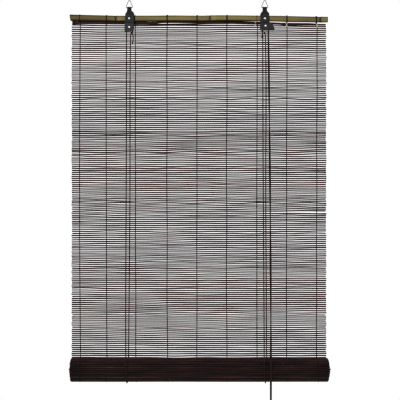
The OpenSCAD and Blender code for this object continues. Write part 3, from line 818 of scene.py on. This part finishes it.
# %% [markdown]
# ## Warp threads
# Nine columns of twisted thread hold the reeds. In each column two strands pass on either side of
# every reed and change places in each gap. A strip with a thread pattern would lie flat, so each
# strand is a tube. A cosine of the height puts it in front of one reed and behind the next, and a
# sine sets the two strands side by side where they cross. Each column leans a little: a parabola
# goes through its offsets at the top, the middle and the foot.


# %% Thread finishes
def plied_thread(name, dark, light):
    """Thread of two plies: a sine of the way round plus the length along; the furrows are
    darkened as painted shade.
    """
    thread = Finish(name, 0.9, shine=0.1)
    share, length = thread.way_round()
    ply_round = thread.math("MULTIPLY", share, 4 * np.pi)
    ply_slant = thread.math("MULTIPLY_ADD", length, 5.0, ply_round)
    plies = thread.math("SINE", ply_slant)
    value = thread.math("MULTIPLY_ADD", plies, 0.35, 0.5)
    thread.colour(value, [(0.1, dark), (0.95, light)])
    thread.bump(plies, 0.7, 0.00015)
    return thread.material


warp_thread = plied_thread("warp_thread", linear(11, 11, 13), linear(31, 32, 41))
natural_thread = plied_thread("natural_thread", linear(176, 156, 122), linear(238, 226, 200))
print("finishes:", warp_thread.name, natural_thread.name)

# %% Hanging warp
STRAND_R = 0.58
STRAND_SWAY = 0.62
LEAN_TOP = np.array([1.7, 0.1, 0.9, 0.8, 1.4, 1.7, 2.0, 1.8, 1.9])
LEAN_MIDDLE = np.array([0.0, 0.7, 1.1, 0.6, 0.9, 0.6, 0.6, 0.5, 0.7])
LEAN_FOOT = np.array([2.4, 2.2, 2.3, 1.8, 1.0, 1.0, 1.2, 0.4, 0.3])
PER_REED = 4
steps = np.arange((REED_COUNT + 1) * PER_REED + 1) / PER_REED
phase = np.pi * steps
strand_z = FIRST_REED_Z + PITCH - PITCH * steps
column = np.repeat(WARP_X, 2)[:, None]
turn_sign = np.tile([1.0, -1.0], len(WARP_X))[:, None]
down = np.clip((MAT_TOP - strand_z) / (MAT_TOP - ROLL_Z), 0, 1)[None]
lean = (
    LEAN_TOP[:, None] * 2 * (down - 0.5) * (down - 1)
    + LEAN_MIDDLE[:, None] * 4 * down * (1 - down)
    + LEAN_FOOT[:, None] * 2 * down * (down - 0.5)
)
lean = lean + slow_waves(rng, len(WARP_X), strand_z, (0.35,), (260,))
strand_x = column + np.repeat(lean, 2, axis=0) + STRAND_SWAY * turn_sign * np.sin(phase)[None]
strand_y = MAT_Y + turn_sign * (REED_T / 2 + 0.25) * np.cos(phase)[None]
drop = np.exp(-np.maximum(steps - 1, 0) / 5)[None] * settle(strand_x)
strand_path = np.stack([strand_x, strand_y, strand_z[None] + drop], axis=-1)
warp_pairs = put_piece(
    "warp_pairs",
    round_rings(strand_path, STRAND_R, 5),
    warp_thread,
    "head",
    ["warp_threads"],
)
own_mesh(warp_pairs)

# %% Warp on the outer turns of the roll
ROLL_WARP_REEDS = 48
roll_steps = np.arange(ROLL_WARP_REEDS * PER_REED + 1) / PER_REED
roll_turned = strip_turn(roll_steps * PITCH)
roll_turn_r = OUTER_TURN_R - TURN_PITCH / (2 * np.pi) * roll_turned
roll_phase = np.pi * (roll_steps - 0.5)
roll_lean = slow_waves(rng, len(WARP_X), roll_steps * PITCH, (0.8,), (120,))
roll_column = np.repeat(WARP_X * 0.9925 + 2.2, 2)[:, None] + np.repeat(roll_lean, 2, axis=0)
roll_strand_r = roll_turn_r[None] + turn_sign * (REED_T / 2 + 0.15) * np.cos(roll_phase)[None]
roll_strand_x = roll_column + STRAND_SWAY * turn_sign * np.sin(roll_phase)[None]
roll_strands = on_roll(roll_strand_x, -roll_turned[None], roll_strand_r)
put_piece(
    "rolled_warp",
    round_rings(roll_strands, STRAND_R, 5),
    warp_thread,
    "roll",
)

# %% [markdown]
# ## The head cane
# The cane is a whole bamboo rod, olive and straw coloured, hollow at its cut ends. It could be a
# cylinder with edge loops pulled out by hand, but a formula keeps its radius in one place: a slow
# taper with a raised ring and a pinched line at each node. One row of rings goes out of the left
# bore, along the outside and into the right bore, and its middle line bends as the head does.

# %% Natural cane finish
cane_finish = Finish("natural_cane", 0.55, shine=0.1)
cane_grain = cane_finish.noise(cane_finish.place((10, 420, 420)), 1.0, 5, 0.62)
cane_cloud = cane_finish.noise(cane_finish.place((16, 60, 60)), 1.0, 3)
# The tone carries the cane's own colour along its length and painted shade on its upper and lower edges.
cane_value = cane_finish.math("MULTIPLY_ADD", cane_grain, 0.32, cane_finish.tone())
cane_value = cane_finish.math("MULTIPLY_ADD", cane_cloud, 0.3, cane_value)
cane_finish.colour(
    cane_value,
    [
        (0.2, linear(38, 31, 21)),
        (0.45, linear(88, 77, 46)),
        (0.7, linear(124, 112, 66)),
        (1.0, linear(168, 150, 98)),
    ],
)
cane_finish.bump(cane_grain, 0.35, 0.0003)
natural_cane = cane_finish.material
print("finish:", natural_cane.name)

# %% Cane shape
CANE_HALF = 303.5
NODE_X = np.array([-192.6, 28.8, 288.4])
BORE_STATIONS = 8
BORE_TONE = -0.2


def cane_middle(x):
    """Height of the cane's middle line: the head's own course and one slow wave."""
    return CANE_Z + settle(x) + 0.3 * np.sin(x / 70)


def hump(away, width):
    """A bell curve that is one at no distance: exp of minus the square of distance over width."""
    return np.exp(-((away / width) ** 2))


near_nodes = [n + np.linspace(-6, 6, 17) for n in NODE_X]
cane_x = np.unique(np.concatenate([np.linspace(-CANE_HALF, CANE_HALF, 120)] + near_nodes))
far = cane_x[:, None] - NODE_X[None]
ridge = np.sum(0.42 * hump(far, 1.6) - 0.45 * hump(far + 3.2, 1.1), axis=1)
cane_radius = 7.05 - 0.0009 * cane_x + ridge + 0.08 * np.sin(cane_x / 37) + 0.05 * np.sin(cane_x / 13)
swell = 0.35 * hump(cane_x - 215, 30) + 0.45 * np.clip((-210 - cane_x) / 90, 0, 1)
cane_radius = cane_radius + swell
middle = np.stack([cane_x, 0.25 * np.sin(cane_x / 90), cane_middle(cane_x) - swell], axis=1)
inner_x = np.linspace(-270, -CANE_HALF, BORE_STATIONS)
bores = [np.stack([x, 0 * x, cane_middle(x)], axis=1) for x in (inner_x, -inner_x[::-1])]
cane_path = np.concatenate([bores[0], middle, bores[1]])
bore_r = np.linspace(2.2, 3.3, BORE_STATIONS), np.linspace(3.1, 2.2, BORE_STATIONS)
cane_all_r = np.concatenate([bore_r[0], cane_radius, bore_r[1]])
around = np.linspace(0, 2 * np.pi, 28, endpoint=False)
oval = 1 + 0.015 * np.cos(2 * around + 0.7)
cane_ring = np.stack([0 * around, np.cos(around) * oval, np.sin(around) * oval], axis=1)
cane_rings = cane_path[:, None] + cane_all_r[:, None, None] * cane_ring[None]
at_left_end = np.clip((-cane_path[:, 0] - 297) / 6.5, 0, 1)[:, None]
slant = at_left_end * (cane_rings[..., 2] - cane_path[:, None, 2]) / 7
cane_rings[..., 0] += -1.1 * slant
print("rings of the cane:", len(cane_rings))

# %% Cane tones
node_dark = np.sum(0.5 * hump(far + 3.2, 1.8) - 0.12 * hump(far - 6, 6), axis=1)
left_dark = np.clip((-150 - cane_x) / 60, 0, 1)
right_dark = np.clip((cane_x - 150) / 60, 0, 1)
cane_shade = 0.3 - 0.17 * left_dark - 0.1 * right_dark
cane_shade = cane_shade - node_dark + 0.1 * np.clip((cane_x - 296) / 6, 0, 1)
bore_tones = np.full(BORE_STATIONS, BORE_TONE)
cane_tones = np.concatenate([bore_tones, cane_shade, bore_tones])[None, :, None]
# Painted shade: the cane's upper edge is darkened a little and its lower edge more, least on the right
# beyond x 150.
painted_underside_shade = np.interp(cane_path[:, 0], [-230, -190, 110, 150], [0.6, 0.7, 0.7, 0.12])[:, None]
upper_edge = np.clip((np.sin(around) - 0.43) / 0.25, 0, 1)
lower_edge = np.clip((-np.sin(around) - 0.6) / 0.25, 0, 1)
cane_tones = cane_tones - 0.2 * upper_edge - painted_underside_shade * lower_edge
put_piece(
    "bamboo_head_cane",
    cane_rings[None],
    natural_cane,
    "head",
    ["head_cane"],
    cane_tones,
)

# %% [markdown]
# ## Top lath and its lashings
# A dark split lath under the cane carries the first reeds, and thread is lashed round both at each
# warp column. The lath is a flat profile carried along X with its own slow waves. A lashing could
# be three closed rings, but a real one is a single thread. So it goes round a belt shape three
# times, about a thread's thickness further each turn.


# %% Lath
LATH_Z = -52.9
LATH_X = [-303.5, -230, -115, -85, 5, 60, 115, 150, 185, 200, 262, 292]
LATH_LIFT = [-0.5, 0.1, 0, 1.8, 1.8, 0.6, 0.1, -0.1, -0.6, -1.2, -1.0, -1.8]
LATH_HALF = [3.5, 3.6, 3.4, 2.1, 2.1, 3.0, 3.6, 3.65, 2.9, 3.2, 3.2, 2.0]


def squarish(angle, power, other):
    """Cosine and sine with their size raised to a power under one, which squares a circle off."""
    ahead = np.sign(np.cos(angle)) * np.abs(np.cos(angle)) ** power
    aside = np.sign(np.sin(angle)) * np.abs(np.sin(angle)) ** other
    return ahead, aside


def lath_middle(x):
    """Height of the lath's middle: it follows the head, up where it is thin and low on the right."""
    return LATH_Z + settle(x) + np.interp(x, LATH_X, LATH_LIFT) + 0.3 * np.sin(x / 43)


LATH_STATIONS = 60
LATH_SIDES = 12
lath_x = np.linspace(-299, 299, LATH_STATIONS)
lath_path = np.stack([lath_x, MAT_Y + 0.25 * np.sin(lath_x / 61), lath_middle(lath_x)], axis=1)[None]
lath_angle = np.linspace(0, 2 * np.pi, LATH_SIDES, endpoint=False)
lath_round, lath_flat = squarish(lath_angle, 0.6, 0.6)
lath_high = np.interp(lath_x, LATH_X, LATH_HALF) + 0.2 * np.sin(lath_x / 55 + 1)
lath_up = lath_high[:, None] * lath_round[None]
lath_deep = 1.5 * np.broadcast_to(lath_flat, lath_up.shape)
lath_rings = lath_path[:, :, None] + np.stack([0 * lath_up, lath_deep, lath_up], axis=-1)
put_piece("dark_top_lath", lath_rings, stained_reed, "head", ["top_lath"], [0.06])

# %% Lashings
LASH_R = 0.48
LASH_TURNS = 3.3
LASH_STATIONS = 132
BELT_R = 7.8
LASH_SHARE = np.array([0.6, 1, 1, 1, 1, 1, 0.3, 1, 1])
LASH_SHIFT = np.array([0.8, 1.6, 0, 1.2, 1.5, 1.4, 0, 0.9, -0.8])


def belt(turns, count):
    """A belt round cane and lath: most of a circle over the cane, then straight to the two lower
    corners of the lath. The angle counts the turns, and the corner points are rounded off."""
    over = np.radians(np.linspace(-33, 240, 24))
    top = np.stack([BELT_R * np.cos(over), CANE_Z + BELT_R * np.sin(over)], axis=1)
    corners = [(0.9, LATH_Z - 3.2), (1.6, LATH_Z - 4.0), (4.4, LATH_Z - 4.0), (5.2, LATH_Z - 3.2)]
    loop = np.concatenate([top, corners, top[:1]])
    run = np.concatenate([[0], np.cumsum(np.linalg.norm(np.diff(loop, axis=0), axis=1))])
    at = (np.linspace(0, turns, count) % 1) * run[-1]
    return np.stack([np.interp(at, run, loop[:, k]) for k in range(2)], axis=1)


lash_loop = belt(LASH_TURNS, LASH_STATIONS)
lash_along = np.linspace(-1.6, 1.6, LASH_STATIONS)
lash_drift = 0.12 * rng.normal(size=(len(WARP_X), LASH_STATIONS)).cumsum(axis=1) / 12
lash_x = (WARP_X + LASH_SHIFT)[:, None] + lash_along[None] + lash_drift
on_lath = np.clip((CANE_Z - 6.7 - lash_loop[None, :, 1]) / 3, 0, 1)
lath_off = lath_middle(lash_x) - LATH_Z - settle(lash_x)
lash_z = lash_loop[None, :, 1] + settle(lash_x) + on_lath * lath_off
lash_path = np.stack([lash_x, np.broadcast_to(lash_loop[:, 0], lash_x.shape), lash_z], axis=-1)
lash_radius = LASH_R * LASH_SHARE[:, None]
put_piece(
    "thread_lashings",
    round_rings(lash_path, lash_radius, 6),
    warp_thread,
    "head",
    ["cane_lashings"],
)

# %% [markdown]
# ### Loose thread ends
# Where the weaver tied off on the right, ends of undyed thread stick out under the lashings. Hair
# could make them, but six are few enough to list one by one. Each is a short smooth route that
# starts at the lashing and lies over the first reeds.

# %% Thread ends
loose_x = [
    (131.6, 132.4, 131.4),
    (134.6, 133.3, 134.0),
    (203.2, 206.2, 209.2),
    (208.8, 206.0, 203.4),
    (275.8, 278.2, 281.2),
    (280.4, 277.6, 276.2),
]
loose_top = np.array([-50.0, -51.0, -50.6, -51.6, -54.4, -55.0])
loose_paths = np.stack(
    [
        smooth_route([(a, -3.8, top), (b, -0.2, top - 5.5), (c, 0.7, top - 10.5)], 16)
        for (a, b, c), top in zip(loose_x, loose_top)
    ]
)
put_piece(
    "natural_thread_ends",
    round_rings(loose_paths, 0.6, 6),
    natural_thread,
    "head",
)

# %% [markdown]
# ## Hanger straps
# Each strap is a strip of black leatherette, folded over the wire ring and riveted astride the
# cane. A flat sheet with a thickness modifier could be bent to it, but its edges would be sharp.
# So a rounded flat profile is carried along one bent path, the strap's side view, and its width
# follows the height: a narrow neck, sloping shoulders, then straight.

# %% Leatherette finish
strap_finish = Finish("strap_leatherette", 0.55, shine=0.14)
pebble = strap_finish.node("ShaderNodeTexVoronoi", Vector=strap_finish.place((1, 1, 1)), Scale=950)
strap_wear = strap_finish.noise(strap_finish.place((1, 1, 1)), 130, 4)
# The tone subtracted here darkens the neck and paints shadow on the strap's two ends.
strap_value = strap_finish.math("SUBTRACT", strap_wear, strap_finish.tone())
strap_finish.colour(
    strap_value,
    [
        (0.05, linear(5, 6, 7)),
        (0.3, linear(11, 13, 13)),
        (0.6, linear(19, 22, 22)),
        (0.8, linear(34, 37, 37)),
    ],
)
strap_finish.bump(pebble.outputs["Distance"], 0.35, 0.0004)
leatherette = strap_finish.material
print("finish:", leatherette.name)


# %% Straps
NECK_HALF = 5.1
STRAP_HALF = 10.4
SHOULDER_TOP = -23.6
SHOULDER_DROP = 8.4


def strap_rings(x, lean):
    """Rings of a rounded flat section along the strap's side view, and how dark each ring is. The
    half width goes from neck to full by a smooth step of the height; the neck is darker, and the
    ends are darkened as painted shadow where they meet the housing."""
    fold = np.radians(np.linspace(180, 0, 9))
    over = [(1.5 * np.cos(a), -16.2 + 1.5 * np.sin(a)) for a in fold]
    side = [(-8.95, -53.1), (-8.95, -43.6), (-8.95, -35.6), (-8.3, -32.1)] + over
    side = side + [(7.3, -32.1), (7.95, -35.6), (7.95, -43.6), (7.95, -53.1)]
    path = smooth_route([(x, y, z) for y, z in side], 90)
    step = np.clip((SHOULDER_TOP - path[:, 2]) / SHOULDER_DROP, 0, 1)
    step = step * step * (3 - 2 * step)
    path[:, 0] += lean * step
    half = NECK_HALF + (STRAP_HALF - NECK_HALF) * step
    thin = 0.5 + 0.22 * step
    thin[[0, -1]] = 0.45
    half[[0, -1]] -= 0.3
    a = np.linspace(0, 2 * np.pi, 24, endpoint=False)
    wide, deep = squarish(a, 0.22, 0.5)
    first, second = path_frames(path[None], (1, 0, 0))
    flat = (half[:, None] * wide)[..., None] * first[0][:, None]
    # Painted shadow on the strap's two ends, where they meet the housing; the neck is darker too.
    dark = 0.3 * np.maximum(1 - step, np.clip((-50.6 - path[:, 2]) / 1.2, 0, 1))
    rings = path[:, None] + flat + (thin[:, None] * deep)[..., None] * second[0][:, None]
    return rings[None], dark[None]


for side_name, strap_x, strap_lean in (("left", -164.0, 1.1), ("right", 155.0, 0.0)):
    rings, dark = strap_rings(strap_x, strap_lean)
    put_piece(
        f"{side_name}_leather_strap",
        rings,
        leatherette,
        "head",
        [f"{side_name}_strap"],
        dark,
    )

# %% [markdown]
# ## Finishes of the metal and plastic parts
# Rings, rivets, housings, wheels and the roll's core keep their solids. They could be modelled
# again, but a turned or stamped part is exactly its CAD shape. They only need finishes: bright
# nickel, dull zinc wire, stamped steel with a dark lacquer, and grey plastic.


# %% Nickel and zinc
def clouded(finish, scale, detail, stops):
    """Lets a finish's colour follow cloudy noise of one scale through the stops; gives the noise."""
    cloud = finish.noise(finish.place((1, 1, 1)), scale, detail)
    finish.colour(cloud, stops)
    return cloud


nickel_finish = Finish("nickel_plate", 0.28, 1.0)
nickel_stops = [(0.3, linear(190, 190, 192)), (0.7, linear(222, 222, 224))]
nickel_cloud = clouded(nickel_finish, 240, 4, nickel_stops)
nickel_finish.feed(
    nickel_finish.shader.inputs["Roughness"],
    nickel_finish.math("MULTIPLY_ADD", nickel_cloud, 0.3, 0.14),
)
nickel = nickel_finish.material
wire_finish = Finish("dull_zinc_wire", 0.45, 1.0)
wire_cloud = clouded(wire_finish, 300, 4, [(0.3, linear(62, 62, 61)), (0.7, linear(104, 103, 101))])
wire_finish.bump(wire_cloud, 0.2, 0.0002)
zinc_wire = wire_finish.material
print("finishes:", nickel.name, zinc_wire.name)

# %% Lacquered steel
steel_finish = Finish("lacquered_steel", 0.5, 0.0, 0.15)
steel_stops = [(0.3, linear(18, 16, 15)), (0.6, linear(25, 23, 21)), (0.85, linear(42, 38, 35))]
clouded(steel_finish, 160, 5, steel_stops)
steel_peel = steel_finish.noise(steel_finish.place((1, 1, 1)), 900, 2)
steel_finish.bump(steel_peel, 0.15, 0.0002)
lacquered_steel = steel_finish.material
print("finish:", lacquered_steel.name)

# %% Wheel plastic
wheel_finish = Finish("wheel_plastic", 0.5)
wheel_cloud = clouded(wheel_finish, 300, 3, [(0.3, linear(48, 48, 48)), (0.7, linear(66, 65, 64))])
wheel_finish.bump(wheel_cloud, 0.1, 0.0002)
wheel_plastic = wheel_finish.material
print("finish:", wheel_plastic.name)

# %% Give the CAD nodes their finishes
node_finishes = [
    (zinc_wire, ("left_ring", "right_ring")),
    (nickel, ("left_strap_rivet", "right_strap_rivet", "pulley_rivet", "cord_lock_rivet")),
    (lacquered_steel, ("pulley_housing", "cord_lock_housing", "cord_lock_roller")),
    (wheel_plastic, ("pulley_wheel", "cord_lock_wheel")),
    (natural_cane, ("core_cane",)),
]
for finish, node_names in node_finishes:
    for node_name in node_names:
        node_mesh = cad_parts[node_name].data
        node_mesh.materials.clear()
        node_mesh.materials.append(finish)
    print("finished nodes:", finish.name, len(node_names))

# %% [markdown]
# ## Floor
# A pale sheet lies under the blind, below the photograph's frame, and takes its soft shadow. A
# whole room could do that, but one sheet is enough.

# %% Floor
FLOOR_HALF = (0.8, 0.5)
FLOOR_Z = -1.06
floor_mesh = bpy.data.meshes.new("pale_floor")
floor_edge = np.linspace(0, 2 * np.pi, 64, endpoint=False)
floor_x = FLOOR_HALF[0] * np.cos(floor_edge)
floor_y = FLOOR_HALF[1] * np.sin(floor_edge)
floor_points = np.stack([floor_x, floor_y, np.full(64, FLOOR_Z)], axis=1)
floor_mesh.from_pydata(floor_points.tolist(), [], [list(range(64))])
floor = bpy.data.objects.new("pale_floor", floor_mesh)
bpy.context.scene.collection.objects.link(floor)
floor_finish = Finish("pale_floor", 0.9)
floor_finish.shader.inputs["Base Color"].default_value = (0.86, 0.86, 0.86, 1)
floor_mesh.materials.append(floor_finish.material)
print("floor made")
